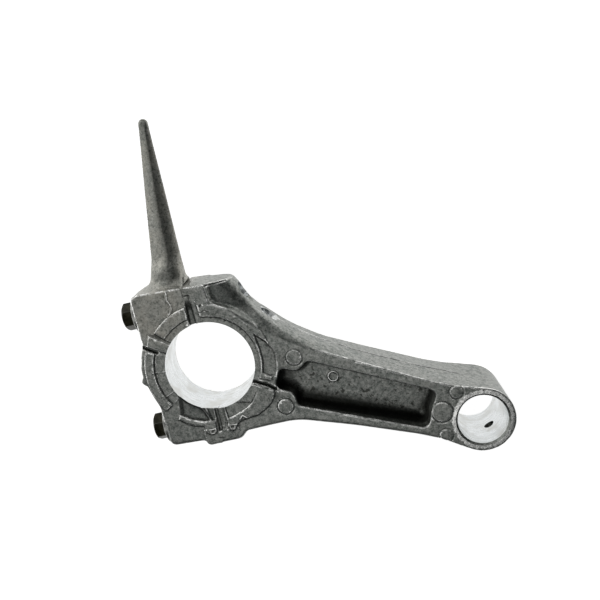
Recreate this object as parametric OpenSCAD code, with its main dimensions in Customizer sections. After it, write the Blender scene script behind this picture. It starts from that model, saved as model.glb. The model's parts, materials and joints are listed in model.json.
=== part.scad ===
// Connecting rod of a small single-cylinder engine, with an obliquely split big end.
// Frame: origin on the crankpin axis at mid-width, +X along the rod to the wrist pin,
// +Z along both bores, +Y towards the oil dipper. All sizes are in millimetres.
// The split frame (s, t) is X and Y turned by split_angle: s runs along the cap bolts,
// from the cap to the rod, and t across them, towards the dipper.

/* [Bores] */
// Distance between the crankpin axis and the wrist pin axis
centre_distance = 110; // [108:0.5:112]
// Radius of the crankpin bore
crank_bore_r = 18; // [17:0.05:18.2]
// Radius of the wrist pin bore
pin_bore_r = 10; // [8:0.05:10.5]
// Chamfer at both mouths of the wrist pin bore
pin_bore_chamfer = 0.8; // [0.2:0.1:1.2]
// Radius of the oil hole into the crankpin bore
crank_oil_hole_r = 3.3; // [1:0.1:3.5]
// Radius of the oil hole into the wrist pin bore
pin_oil_hole_r = 2.2; // [1:0.1:2.4]

/* [Ends] */
// Width of the big end over its thrust pads
big_end_width = 24; // [22:0.5:25]
// Height of a thrust pad above the cast face
pad_height = 0.8; // [0.4:0.1:1.5]
// Outer radius of the thrust pads
pad_r = 26; // [24:0.25:26]
// Width of an oil groove between two thrust pads
pad_gap = 2; // [1:0.25:3]
// Outside radius of the small end
small_end_r = 13; // [12.5:0.1:13.5]
// Width of the small end between its faces
small_end_width = 33; // [31:0.5:34]

/* [Split] */
// Angle between the cap bolts and the line through both bores
split_angle = 23.5; // [22:0.5:25]
// Position of the split along the bolts, from the crankpin axis
split_s = -1.1; // [-1.2:0.1:0]
// Depth of the locating steps at both ends of the split
step_depth = 2; // [1:0.1:2.2]
// Distance from the crankpin axis to each locating step
step_t = 29.6; // [29.4:0.1:30]

/* [Bolts] */
// Distance from the crankpin axis to the axis of the bolt beside the dipper
upper_bolt_t = 24.7; // [24:0.05:24.9]
// Distance from the crankpin axis to the axis of the other bolt
lower_bolt_t = 23.75; // [23.5:0.05:24]
// Distance from the crankpin axis to the bolt seats, against s
seat_s = 24.2; // [24:0.1:24.5]
// Radius of the bolt shank
bolt_r = 4; // [3.8:0.05:4]
// Length of the bolt under its head
bolt_length = 40; // [36:1:41]
// Distance across the flats of the hexagon head
head_across_flats = 10; // [9:0.5:11]
// Height of the hexagon head
head_height = 5; // [4.5:0.1:5.5]
// Radius of the washer
washer_r = 7.6; // [6.5:0.1:8]
// Thickness of the washer
washer_thickness = 2.2; // [1.6:0.1:2.5]
// Radial clearance of the shank in the rod's hole
thread_clearance = 0.05; // [0.03:0.01:0.08]
// Radial clearance of the shank in the cap and the washer
shank_clearance = 0.25; // [0.15:0.05:0.35]

/* [Shank] */
// Width of the shank at the big end
shank_width = 24; // [22:0.5:24]
// Where the sides of the shank begin to spread
taper_start = 28; // [26:1:32]
// Where the shank is as wide as the small end
taper_end = 99; // [96:1:100]
// Thickness of the web between the two pockets
web = 6; // [5:0.5:8]
// Half the height of the pocket at its big end
pocket_half_height = 9.4; // [8:0.1:9.6]
// Half the height of the pocket at its small end
pocket_end_half_height = 7.6; // [6:0.1:8]
// Half the height of the slot that opens the pocket towards the big end
slot_half_height = 4.3; // [3.5:0.1:5]
// Radius of the ejector marks on the shank
mark_r = 3.2; // [2.5:0.1:3.4]

/* [Dipper] */
// Lean of the dipper away from +Y, over the bolt heads
dipper_lean = 17.9; // [16:0.1:19]
// Radius of the dipper at its tip
dipper_tip_r = 1.95; // [1.6:0.05:2.2]
// Radius of the dipper at its foot
dipper_foot_r = 7.1; // [6.5:0.1:7.4]
// Height of the centre of the dipper's tip above the crankpin axis
dipper_tip_y = 88.5; // [80:0.5:92]

/* [Hidden] */
cast_colour = [0.50, 0.51, 0.49];
bolt_colour = [0.11, 0.11, 0.10];
washer_colour = [0.62, 0.62, 0.60];
$fn = 96;
// Reach of a cutting tool past the faces it cuts
over = 1;
// Number of straight segments that make a rounded corner
corner_steps = 8;
half_big = big_end_width / 2;
half_small = small_end_width / 2;
bolt_hole_r = bolt_r + thread_clearance;
clear_hole_r = bolt_r + shank_clearance;
// The upper bolt boss ends here, where its slanted end face begins
boss_end_s = 16.6;
// Half the width of the upper bolt boss beside the shank
boss_half_width = 9;
// Directions in which the oil holes are drilled, from the axes of their bores
crank_oil_angle = 51;
pin_oil_angle = -45;
// Directions in which the oil grooves between the thrust pads run
rod_groove_angle = -7;
cap_groove_angle = 172;
// Centre of the upper ejector mark; the lower one lies opposite
mark_place = [32.5, 10.3];
// Centre and radius of the ejector boss at the pocket's small end
pocket_boss_x = 93.6;
pocket_boss_r = 4.6;
// Centre and radius of the lug on the back of the cap
lug_place = [-26.9, -0.6];
lug_r = 1.7;
// The rod stays below this height at the split; the cap's dipper may lean over it
flange_top_t = 33.4;
// The dipper's axis crosses the cap's upper face here
dipper_foot = [-20.9, 24];
// A box larger than the whole object, for cutting it in two
reach = 200;

// A point of the split frame, in X and Y
function st(s, t) = [s * cos(split_angle) - t * sin(split_angle),
                     s * sin(split_angle) + t * cos(split_angle)];
function unit(v) = v / norm(v);
// The arc of radius r that rounds corner p of an outline, between points a and b
function corner(a, p, b, r) =
    let (u = unit(a - p),
         v = unit(b - p),
         half = acos(u * v) / 2,
         centre = p + unit(u + v) * r / sin(half),
         first = p + u * r / tan(half) - centre,
         sweep = (cross(u, v) < 0 ? 1 : -1) * (180 - 2 * half),
         start = atan2(first[1], first[0]))
    r == 0 ? [p]
    : [for (i = [0 : corner_steps])
          let (angle = start + sweep * i / corner_steps)
          centre + r * [cos(angle), sin(angle)]];
// An outline whose corners are given as [point, radius]
function rounded(corners) =
    let (n = len(corners))
    [for (i = [0 : n - 1])
        each corner(corners[(i + n - 1) % n][0], corners[i][0],
                    corners[(i + 1) % n][0], corners[i][1])];
function mirrored_y(corners) =
    concat(corners,
           [for (i = [len(corners) - 1 : -1 : 0])
               [[corners[i][0][0], -corners[i][0][1]], corners[i][1]]]);

// A flat outline made into a plate of the given width, centred on Z = 0
module plate(width) {
    translate([0, 0, -width / 2])
        linear_extrude(width)
            children();
}

// Turns its children from the split frame into X and Y
module in_split_frame() {
    rotate([0, 0, split_angle])
        children();
}

// Places its children on a bolt axis, with +Z along s, at s = 0
module on_bolt_axis(side) {
    in_split_frame()
        translate([0, side > 0 ? upper_bolt_t : -lower_bolt_t, 0])
            rotate([0, 90, 0])
                children();
}

// The side of the split that the cap is on: a step at each end locates it
module cap_side() {
    polygon([for (p = [[split_s, step_t], [split_s - step_depth, step_t],
                       [split_s - step_depth, flange_top_t],
                       [reach, reach], [-reach, reach],
                       [-reach, -reach], [split_s - step_depth, -reach],
                       [split_s - step_depth, -step_t - over],
                       [split_s, -step_t - over]])
             st(p[0], p[1])]);
}

// Whatever lies on the rod's side of the split
module rod_half(width) {
    difference() {
        children();
        plate(width + 2 * over)
            cap_side();
    }
}

// Whatever lies on the cap's side of the split
module cap_half(width) {
    intersection() {
        children();
        plate(width + 2 * over)
            cap_side();
    }
}

module crank_bore() {
    cylinder(h = big_end_width + 2 * over, r = crank_bore_r, center = true);
}

// One thrust pad on each face: a sector of the ring from angle a to angle b,
// with parallel grooves of width pad_gap left at its ends
module thrust_pads(a, b) {
    for (side = [-1, 1])
        translate([0, 0, side * (half_big - pad_height)])
            intersection() {
                cylinder(h = 2 * pad_height, r = pad_r, center = true);
                plate(4 * pad_height)
                    polygon([pad_gap / 2 / sin((b - a) / 2) * heading((a + b) / 2),
                             reach * heading(a) + pad_gap / 2 * heading(a + 90),
                             reach * heading((a + b) / 2),
                             reach * heading(b) - pad_gap / 2 * heading(b + 90)]);
            }
}
function heading(angle) = [cos(angle), sin(angle)];

// Outline of the shank and the full-width part of the rod's big end
module rod_outline() {
    polygon(rounded([
        [st(-6, 32.9), 0],
        [st(6, 32), 1],
        [st(6.6, 26.3), 1.5],
        [[5.5, 25.2], 8],
        [[15, 21.8], 20],
        [[27, 18.2], 40],
        [[42, 15], 60],
        [[60, 13.4], 200],
        [[86, 11.7], 60],
        [[97, 11.8], 30],
        [[centre_distance - 1.2, small_end_r - 0.1], 0],
        [[centre_distance - 1.2, 0.1 - small_end_r], 0],
        [[96, -11.3], 30],
        [[86, -11.3], 60],
        [[62, -12.8], 200],
        [st(29, -29.1), 30],
        [st(8, -29.5), 1.5],
        [st(4.8, -32.4), 2.4],
        [st(-6, -32.4), 0]]));
}

// The shank's two sides, seen from above: parallel, then spreading to the small end
module side_profile() {
    polygon([[-60, shank_width / 2], [taper_start, shank_width / 2],
             [taper_end, half_small], [120, half_small],
             [120, -half_small], [taper_end, -half_small],
             [taper_start, -shank_width / 2], [-60, -shank_width / 2]]);
}

// One pocket of the shank, with the notch round the ejector boss at its small end
module pocket_outline() {
    difference() {
        polygon(rounded(mirrored_y([
            [[27.3, slot_half_height], 2.5],
            [[34.8, slot_half_height], 4],
            [[37.6, pocket_half_height], 2.5],
            [[89.6, pocket_end_half_height], 2.8]])));
        translate([pocket_boss_x, 0])
            circle(r = pocket_boss_r);
    }
}

module pockets() {
    for (side = [-1, 1])
        translate([0, 0, side * (web / 2 + half_small) - half_small])
            linear_extrude(2 * half_small)
                pocket_outline();
}

// Low round marks left by the mould's ejector pins
module ejector_marks() {
    mark_depth = 0.3;
    for (side = [-1, 1], end = [-1, 1])
        translate([mark_place[0], end * mark_place[1], side * (half_big + 0.28)])
            cylinder(h = 2 * mark_depth, r = mark_r, center = true);
}

// The bolt boss above the shank: narrower than the big end, and sloped down to the shank
module upper_boss() {
    plate(2 * boss_half_width)
        polygon(rounded([
            [st(2, 22), 0],
            [st(2, 32.4), 0],
            [st(boss_end_s, 31.4), 2.5],
            [st(boss_end_s + 4.2, 21.6), 3],
            [[25, 21.2], 20],
            [[33, 18], 20],
            [[44, 13.4], 0],
            [[20, 12], 0]]));
}

// Everything of the rod outside its bores, pockets and bolt holes
module rod_blank() {
    intersection() {
        plate(small_end_width)
            rod_outline();
        rotate([90, 0, 0])
            plate(reach)
                side_profile();
    }
    upper_boss();
    translate([centre_distance, 0, 0])
        cylinder(h = small_end_width, r = small_end_r, center = true);
}

// Lowers the cast faces of the big end around the thrust pads
module face_relief() {
    for (side = [-1, 1])
        translate([0, 0, side * half_big])
            cylinder(h = 2 * pad_height, r = pad_r + 0.01, center = true);
}

module pin_bore() {
    translate([centre_distance, 0, 0]) {
        cylinder(h = small_end_width + 2 * over, r = pin_bore_r, center = true);
        for (side = [0, 1])
            mirror([0, 0, side])
                translate([0, 0, half_small - pin_bore_chamfer])
                    cylinder(h = pin_bore_chamfer + over, r1 = pin_bore_r,
                             r2 = pin_bore_r + pin_bore_chamfer + over);
    }
}

// Drilled from the shank's upper face down into the crankpin bore
module crank_oil_hole() {
    rotate([0, 0, crank_oil_angle])
        translate([crank_bore_r - 2, 0, 0])
            rotate([0, 90, 0])
                cylinder(h = 20, r = crank_oil_hole_r);
}

// Drilled from below the small end up into the wrist pin bore
module pin_oil_hole() {
    translate([centre_distance, 0, 0])
        rotate([0, 0, pin_oil_angle])
            translate([pin_bore_r - 2, 0, 0])
                rotate([0, 90, 0])
                    cylinder(h = 8, r = pin_oil_hole_r);
}

module rod_body() {
    color(cast_colour)
        difference() {
            union() {
                difference() {
                    rod_half(small_end_width)
                        rod_blank();
                    face_relief();
                }
                rod_half(big_end_width)
                    difference() {
                        union() {
                            thrust_pads(split_angle - 90, rod_groove_angle);
                            thrust_pads(rod_groove_angle, split_angle + 90);
                        }
                        crank_bore();
                    }
                ejector_marks();
            }
            crank_bore();
            pin_bore();
            pockets();
            crank_oil_hole();
            pin_oil_hole();
            for (side = [-1, 1])
                on_bolt_axis(side)
                    translate([0, 0, -10])
                        cylinder(h = side > 0 ? 40 : 27, r = bolt_hole_r);
        }
}

// The cap without its dipper and bores, out to the bolt seats
module cap_outline() {
    polygon([for (p = rounded([
                 [[6, 32], 0],
                 [[-21, 34], 3],
                 [[-seat_s, 33.2], 2.4],
                 [[-seat_s, 14.5], 6],
                 [[-28.4, 3], 14],
                 [[-24.9, -9.5], 8],
                 [[-seat_s, -12.5], 3],
                 [[-seat_s, -29.2], 2.6],
                 [[-9.7, -30.1], 0.8],
                 [[-8.7, -32.4], 2.2],
                 [[6, -32.4], 0]]))
             st(p[0], p[1])]);
}

// A round tapering blade that splashes oil, leaning back over the bolt heads
module dipper() {
    length = (dipper_tip_y - dipper_foot[1]) / cos(dipper_lean);
    translate([dipper_foot[0], dipper_foot[1], 0])
        rotate([0, 0, dipper_lean])
            rotate([-90, 0, 0]) {
                cylinder(h = length, r1 = dipper_foot_r, r2 = dipper_tip_r);
                translate([0, 0, length])
                    sphere(r = dipper_tip_r);
            }
}

module bearing_cap() {
    color(cast_colour)
        difference() {
            union() {
                difference() {
                    cap_half(big_end_width)
                        union() {
                            plate(big_end_width)
                                cap_outline();
                            in_split_frame()
                                translate(lug_place)
                                    cylinder(h = big_end_width - 2, r = lug_r, center = true);
                            dipper();
                        }
                    face_relief();
                }
                cap_half(big_end_width)
                    difference() {
                        union() {
                            thrust_pads(split_angle + 90, cap_groove_angle);
                            thrust_pads(cap_groove_angle, split_angle + 222);
                        }
                        crank_bore();
                    }
            }
            crank_bore();
            for (side = [-1, 1])
                on_bolt_axis(side)
                    translate([0, 0, -seat_s - 10])
                        cylinder(h = seat_s + 10 + over, r = clear_hole_r);
        }
}

// Hexagon bolt with its head chamfered and its tip bevelled; side is 1 above, -1 below
module cap_bolt(side) {
    head_s = -seat_s - washer_thickness;
    tip_bevel = 0.9;
    corner_r = head_across_flats / sqrt(3);
    // The head's outer end is turned off to a cone that cuts its six corners
    cone_r = [corner_r + 2.6, corner_r - 1];
    color(bolt_colour)
        on_bolt_axis(side)
            translate([0, 0, head_s]) {
                cylinder(h = bolt_length - tip_bevel, r = bolt_r);
                translate([0, 0, bolt_length - tip_bevel])
                    cylinder(h = tip_bevel, r1 = bolt_r, r2 = bolt_r - tip_bevel);
                mirror([0, 0, 1])
                    intersection() {
                        cylinder(h = head_height, r = corner_r, $fn = 6);
                        cylinder(h = head_height, r1 = cone_r[0], r2 = cone_r[1]);
                    }
            }
}

// Thick flat washer under a bolt head; side is 1 above, -1 below
module bolt_washer(side) {
    color(washer_colour)
        on_bolt_axis(side)
            translate([0, 0, -seat_s - washer_thickness])
                difference() {
                    cylinder(h = washer_thickness, r = washer_r);
                    translate([0, 0, -over])
                        cylinder(h = washer_thickness + 2 * over, r = clear_hole_r);
                }
}

module cap_bolt_upper() {
    cap_bolt(1);
}

module cap_bolt_lower() {
    cap_bolt(-1);
}

module bolt_washer_upper() {
    bolt_washer(1);
}

module bolt_washer_lower() {
    bolt_washer(-1);
}

rod_body();
bearing_cap();
cap_bolt_upper();
cap_bolt_lower();
bolt_washer_upper();
bolt_washer_lower();
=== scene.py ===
"""A die-cast connecting rod with its bearing cap and cap bolts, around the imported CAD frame.

Lengths inside the shape code are millimetres in the CAD frame: +X from the crankpin axis to the
wrist pin axis, +Z along both bores, +Y towards the oil dipper. Meshes are made in metres.
The split frame (s, t) is X and Y turned by the split's angle: s runs along the cap bolts.
"""

import json
import math

import bmesh
import bpy
import numpy as np
import openvdb
from mathutils import Matrix, Vector


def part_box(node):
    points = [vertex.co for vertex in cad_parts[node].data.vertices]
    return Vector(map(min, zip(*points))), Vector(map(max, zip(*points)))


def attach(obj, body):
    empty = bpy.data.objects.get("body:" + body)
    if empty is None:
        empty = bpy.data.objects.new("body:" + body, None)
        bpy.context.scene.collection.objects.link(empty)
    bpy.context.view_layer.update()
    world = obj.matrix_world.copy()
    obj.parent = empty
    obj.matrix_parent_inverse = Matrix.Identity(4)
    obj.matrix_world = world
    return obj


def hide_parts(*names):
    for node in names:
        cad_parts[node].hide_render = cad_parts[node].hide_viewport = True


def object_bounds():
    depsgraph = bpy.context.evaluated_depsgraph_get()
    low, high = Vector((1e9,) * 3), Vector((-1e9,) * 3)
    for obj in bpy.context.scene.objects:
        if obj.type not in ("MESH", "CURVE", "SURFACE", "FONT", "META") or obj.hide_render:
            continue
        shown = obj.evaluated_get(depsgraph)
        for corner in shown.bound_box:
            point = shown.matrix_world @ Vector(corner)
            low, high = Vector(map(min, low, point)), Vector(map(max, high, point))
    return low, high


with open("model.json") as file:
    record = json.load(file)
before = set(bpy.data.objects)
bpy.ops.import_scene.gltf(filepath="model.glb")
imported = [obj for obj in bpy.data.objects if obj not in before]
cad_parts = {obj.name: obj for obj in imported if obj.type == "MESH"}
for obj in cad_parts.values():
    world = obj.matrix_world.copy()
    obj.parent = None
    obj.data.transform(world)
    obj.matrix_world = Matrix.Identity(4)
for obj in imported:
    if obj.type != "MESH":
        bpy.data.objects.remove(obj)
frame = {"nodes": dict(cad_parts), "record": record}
CAD_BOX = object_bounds()

# ---------------------------------------------------------------- sizes, from the frame
MM = 0.001
RECORD = frame["record"]
MOUNTS = {mount["name"]: mount for mount in RECORD["mounts"]}
JOINTS = {joint["name"]: joint for joint in RECORD["behaviour"]["joints"]}

CRANK_R = MOUNTS["crankpin_bore"]["dims"]["r_mm"]
HALF_BIG = MOUNTS["crankpin_bore"]["dims"]["length_mm"] / 2
PIN_R = MOUNTS["wrist_pin_bore"]["dims"]["r_mm"]
PIN_X = MOUNTS["wrist_pin_bore"]["pos_m"][0] / MM
HALF_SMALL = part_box("rod_body")[1][2] / MM
SMALL_END_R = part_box("rod_body")[1][0] / MM - PIN_X

BOLT_OUT = Vector(JOINTS["cap_lift"]["axis"]).normalized()
SPLIT_ANGLE = math.atan2(-BOLT_OUT.y, -BOLT_OUT.x)
COS, SIN = math.cos(SPLIT_ANGLE), math.sin(SPLIT_ANGLE)


def split_coords(x, y):
    """s and t of a point, or of arrays of points."""
    return x * COS + y * SIN, y * COS - x * SIN


def st(s, t):
    """X and Y of a point of the split frame."""
    return (s * COS - t * SIN, s * SIN + t * COS)


def node_s_range(node):
    """How far a node reaches along s."""
    obj = frame["nodes"][node]
    values = [split_coords(v.co.x / MM, v.co.y / MM)[0] for v in obj.data.vertices]
    return min(values), max(values)


BOLT_T = {side: split_coords(*[c / MM for c in JOINTS[name]["pos_m"][:2]])[1]
          for side, name in ((1, "upper_bolt_turn"), (-1, "lower_bolt_turn"))}
WASHER_S = node_s_range("bolt_washer_upper")
BOLT_S = node_s_range("cap_bolt_upper")
SEAT_S = WASHER_S[1]

# the split: its place on s, and the step in its face, which locates the cap beyond STEP_T
SPLIT_S = -1.1
STEP_DEPTH = 2.0
STEP_T = 29.6
FLANGE_TOP_T = 33.4

# the bolts, the tapped holes in the rod and the clearance holes in the cap
BOLT_R = 4.0
HOLE_R = 4.05
CLEAR_HOLE_R = 4.25
THREAD_PITCH = 1.25
HEAD_ACROSS_FLATS = 10.0
WASHER_R = 7.55

# the oil holes, and the crank oil hole's countersink: how much wider the hole is at what distance
PIN_OIL_R = 2.2
PIN_OIL_ANGLE = math.radians(-45)
CRANK_OIL_R = 3.3
CRANK_OIL_ANGLE = math.radians(51)
CRANK_OIL_MOUTH = ((28.6, 0.0), (31.0, 1.5))

# ---------------------------------------------------------------- distance fields
VOXEL = 0.28


class Grid:
    """Sample points over a box that is mirrored about Z = 0; the box is in millimetres."""

    def __init__(self, low, high):
        self.low = np.array([low[0], low[1]])
        counts = [int((high[i] - low[i]) / VOXEL) + 2 for i in range(2)]
        self.layers = int(high[2] / VOXEL) + 3
        axes = [low[i] + VOXEL * np.arange(counts[i]) for i in range(2)]
        self.x, self.y = np.meshgrid(*axes, indexing="ij")
        self.s, self.t = split_coords(self.x, self.y)
        self.z = (VOXEL * np.arange(self.layers))[None, None, :]

    def mesh(self, name, field):
        """The zero surface of a distance field, with both halves, as a mesh object."""
        whole = np.concatenate([field[:, :, :0:-1], field], axis=2)
        band = 3.0
        grid = openvdb.FloatGrid(band)
        grid.copyFromArray(np.clip(whole / VOXEL, -band, band).astype(np.float32))
        points, triangles, quads = grid.convertToPolygons(isovalue=0.0, adaptivity=0.02)
        points = points * VOXEL
        points[:, 0] += self.low[0]
        points[:, 1] += self.low[1]
        points[:, 2] -= VOXEL * (self.layers - 1)
        faces = [tuple(int(i) for i in f[::-1]) for f in triangles]
        faces += [tuple(int(i) for i in f[::-1]) for f in quads]
        data = bpy.data.meshes.new(name)
        data.from_pydata((points * MM).tolist(), [], faces)
        data.validate()
        return link(bpy.data.objects.new(name, data))

    def curvature(self, field, points):
        """How sharply the surface curves at some points: positive on ridges, negative in creases."""
        bend = -6 * field
        bend[1:] += field[:-1]
        bend[:-1] += field[1:]
        bend[:, 1:] += field[:, :-1]
        bend[:, :-1] += field[:, 1:]
        bend[:, :, 1:] += field[:, :, :-1]
        bend[:, :, :-1] += field[:, :, 1:]
        bend[:, :, 0] += field[:, :, 1]
        bend /= VOXEL ** 2
        place = np.abs(points - np.array([*self.low, 0]) * [1, 1, 0]) / VOXEL
        place = np.minimum(place, np.array(field.shape) - 1.001)
        first = place.astype(int)
        part = place - first
        total = np.zeros(len(points))
        for corner in np.ndindex(2, 2, 2):
            weight = np.prod(np.where(corner, part, 1 - part), axis=1)
            total += weight * bend[tuple((first + corner).T)]
        return total


def link(obj):
    bpy.context.scene.collection.objects.link(obj)
    return obj


def rounded(corners, steps=8):
    """The points of an outline whose corners are (x, y, radius)."""
    points = []
    count = len(corners)
    for i, (px, py, r) in enumerate(corners):
        p = np.array([px, py])
        if r == 0:
            points.append(p)
            continue
        u = np.array(corners[i - 1][:2]) - p
        v = np.array(corners[(i + 1) % count][:2]) - p
        u, v = u / np.linalg.norm(u), v / np.linalg.norm(v)
        half = math.acos(max(-1.0, min(1.0, float(u @ v)))) / 2
        middle = (u + v) / np.linalg.norm(u + v)
        centre = p + middle * r / math.sin(half)
        first = p + u * r / math.tan(half) - centre
        turn = 1 if u[0] * v[1] - u[1] * v[0] < 0 else -1
        start = math.atan2(first[1], first[0])
        for k in range(steps + 1):
            a = start + turn * (math.pi - 2 * half) * k / steps
            points.append(centre + r * np.array([math.cos(a), math.sin(a)]))
    return points


def outline(x, y, points):
    """Signed distance, in a plane, to a closed outline: negative inside."""
    nearest = np.full(x.shape, 1e9)
    inside = np.zeros(x.shape, bool)
    for a, b in zip(points, points[1:] + points[:1]):
        ex, ey = b[0] - a[0], b[1] - a[1]
        wx, wy = x - a[0], y - a[1]
        along = np.clip((wx * ex + wy * ey) / max(ex * ex + ey * ey, 1e-12), 0, 1)
        nearest = np.minimum(nearest, (wx - ex * along) ** 2 + (wy - ey * along) ** 2)
        crosses = (a[1] <= y) != (b[1] <= y)
        inside ^= crosses & (x < a[0] + ex * (y - a[1]) / (ey if ey else 1e-12))
    return np.sqrt(nearest) * np.where(inside, -1, 1)


def stroke(x, y, points, half_width):
    """Signed distance to a line drawn through the points with round ends."""
    nearest = np.full(x.shape, 1e9)
    for a, b in zip(points, points[1:]):
        ex, ey = b[0] - a[0], b[1] - a[1]
        along = np.clip(((x - a[0]) * ex + (y - a[1]) * ey) / (ex * ex + ey * ey), 0, 1)
        nearest = np.minimum(nearest, np.hypot(x - a[0] - ex * along, y - a[1] - ey * along))
    return nearest - half_width


def join(a, b, r):
    """Union with a round fillet of radius r in the corner."""
    return np.maximum(r, np.minimum(a, b)) - np.hypot(np.maximum(r - a, 0), np.maximum(r - b, 0))


def meet(a, b, r):
    """Intersection with the edge rounded to radius r."""
    return np.minimum(-r, np.maximum(a, b)) + np.hypot(np.maximum(r + a, 0), np.maximum(r + b, 0))


def ramp(value, low, high):
    """Smooth step from 0 at low to 1 at high."""
    k = np.clip((value - low) / (high - low), 0, 1)
    return k * k * (3 - 2 * k)


def inside(distance, soft=0.5):
    """1 inside an outline, 0 outside it, with a soft edge."""
    return 1 - ramp(distance, -soft / 2, soft / 2)


DRAFT = math.tan(math.radians(1.5))


def solid(flat, height, grid, edge, lean=DRAFT):
    """An outline raised to a height above and below Z = 0, with draft and rounded edges."""
    edge, lean = (v if np.isscalar(v) else v[:, :, None] for v in (edge, lean))
    return meet(flat[:, :, None] + lean * (grid.z - HALF_BIG), grid.z - height[:, :, None], edge)


# ---------------------------------------------------------------- relief of the big end's faces
FACE = HALF_BIG
CAST_FACE = FACE - 0.45
# the groove along the split lies between these two
GROOVE_CAP_S = -3.4
GROOVE_ROD_S = 1.2
# the thrust pads reach from the bore to these radii
ROD_PAD_R = 25.3
UPPER_CAP_PAD_R = 25.6
LEFT_CAP_PAD_R = 26.2
LEFT_CREASE_R = 22.3


def sector(x, y, low, high):
    """Signed distance to the wedge between two directions in degrees, under half a turn apart."""
    a, b = math.radians(low), math.radians(high)
    return np.maximum(x * math.sin(a) - y * math.cos(a), y * math.cos(b) - x * math.sin(b))


def paint(height, region, level, soft=0.45):
    """Brings the face to a level inside a region, with a wall as wide as soft."""
    return height + (level - height) * inside(region, soft)


def big_end_height(grid):
    """Height of the big end's cast face: thrust pads, grooves, lobes and bars round the bore."""
    x, y, s, t = grid.x, grid.y, grid.s, grid.t
    r = np.hypot(x, y)

    def area(*points):
        return outline(s, t, points)

    def dot(dot_s, dot_t, radius):
        return np.hypot(s - dot_s, t - dot_t) - radius

    height = np.full(x.shape, CAST_FACE)
    # rod side, above: a broad textured ring with a lower band next to the bore
    upper_rod = np.maximum(sector(x, y, -3, 118), GROOVE_ROD_S - s)
    height = paint(height, np.maximum(upper_rod, r - ROD_PAD_R), FACE - 0.10, 0.7)
    height = paint(height, np.maximum(upper_rod, r - 22.4), FACE - 0.24, 0.5)
    height = paint(height, np.maximum(upper_rod, r - 20.2), FACE - 0.55, 0.4)
    # a crescent pocket beside the shank
    crescent = outline(x, y, (
        (15.2, 16.0), (20.1, 14.2), (24.6, 10.4), (26.2, 5.2), (26.5, 1.0), (24.2, 0.5),
        (21.3, 1.2), (20.3, 6.2), (18.3, 10.8)))
    height = paint(height, crescent, FACE - 0.85, 0.6)
    # a narrow oil slot below it, cut after the pad beneath it
    slot = stroke(x, y, ((16, -2.6), (21.4, -3.3), (24, -3.4), (27.4, -4.4)), 0.55)
    # rod side, below: a wide pad that ends in a lobe beside the split
    lower_rod = area((GROOVE_ROD_S, -12), (1.0, -23), (1.0, -27), (2, -28.1), (3.4, -27.9), (4.5, -26.5),
                     (6, -25.2), (8.5, -24.6), (14, -24), (17, -22.6), (20.4, -20.4), (22.4, -17.7),
                     (22.7, -15.3), (15, -11.2))
    height = paint(height, lower_rod, FACE, 0.5)
    band = area((1.9, -22.8), (5, -22.1), (8, -21.1), (11, -19.6), (12.5, -18.6), (14.2, -16.4),
                (16.3, -13.6), (17.0, -12.0), (13, -9), (1, -14))
    height = paint(height, np.maximum(band, lower_rod), FACE - 0.45, 0.45)
    cross = area((6.6, -16.8), (12.6, -18.2), (17.5, -12.0), (14, -8))
    height = paint(height, np.maximum(np.maximum(band, lower_rod), cross), FACE - 0.15, 0.45)
    peak = stroke(s, t, ((6.3, -24.2), (7.7, -22.7), (9.2, -24.2)), 0.35)
    height += 0.3 * inside(peak, 0.6)
    height = paint(height, slot, FACE - 2.2, 0.5)
    # cap side, above: a pad with a lower inner band, then a small block
    upper_cap = np.maximum(sector(x, y, 96, 159), s - GROOVE_CAP_S + 0.06 * (t - 20))
    height = paint(height, np.maximum(upper_cap, r - UPPER_CAP_PAD_R), FACE - 0.03, 0.55)
    height = paint(height, np.maximum(upper_cap, r - 20.8), FACE - 0.38, 0.4)
    block = outline(x, y, ((-26, 7.6), (-16, 5.6), (-16, 1.8), (-26, 2.9)))
    height = paint(height, block, FACE - 0.1, 0.5)
    above_block = stroke(x, y, ((-25.5, 8.0), (-16, 6.3)), 0.2)
    height = paint(height, above_block, FACE - 0.7, 0.5)
    # cap side, left: a long pad with a crease, short lines across it and a square end
    left_cap = np.maximum(sector(x, y, 176, 237), r - LEFT_CAP_PAD_R)
    height = paint(height, left_cap, FACE - 0.02, 0.5)
    height = paint(height, np.maximum(left_cap, r - LEFT_CREASE_R), FACE - 0.32, 0.4)
    crease = np.maximum(left_cap, np.abs(r - LEFT_CREASE_R) - 0.25)
    height -= 0.35 * inside(crease, 0.5)
    shadow = stroke(x, y, ((-27, 2.5), (-21.6, 1.5)), 0.55)
    height = paint(height, shadow, FACE - 2.0, 0.5)
    for angle in (198, 226):
        edge = math.radians(angle)
        line = np.abs(x * math.sin(edge) - y * math.cos(edge)) - 0.15
        height += 0.22 * inside(np.maximum(np.maximum(line, left_cap), r - 23.5), 0.5)
    # cap side, below: two recesses, and a bar that ends in a lobe beside the split
    hollow = np.maximum(area((-16.2, -17.4), (-15.2, -10), (-8.5, -12), (-6.6, -17), (-5.6, -22.6),
                             (-8, -22.2), (-12, -20.6)), 18 - r)
    height = paint(height, hollow, FACE - 1.6, 2.2)
    hollow = area((-6.6, -15), (-3.0, -15), (-3.4, -22.4), (-4.9, -22.6))
    height = paint(height, hollow, FACE - 1.4, 1.2)
    ridge = stroke(s, t, ((-8.0, -15.5), (-5.4, -22.2)), 0.25)
    height = paint(height, ridge, FACE - 0.45, 0.7)
    bar = area((-18, -19), (-15, -21.5), (-12.5, -23), (-8.6, -24), (-8.1, -26.6), (-6.9, -28),
               (-5.1, -28.2), (-4.0, -27), (-3.7, -23), (-5, -22.2), (-8, -21.9), (-12, -20.4), (-17, -17.3))
    height = paint(height, bar, FACE - 0.02, 0.5)
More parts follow.
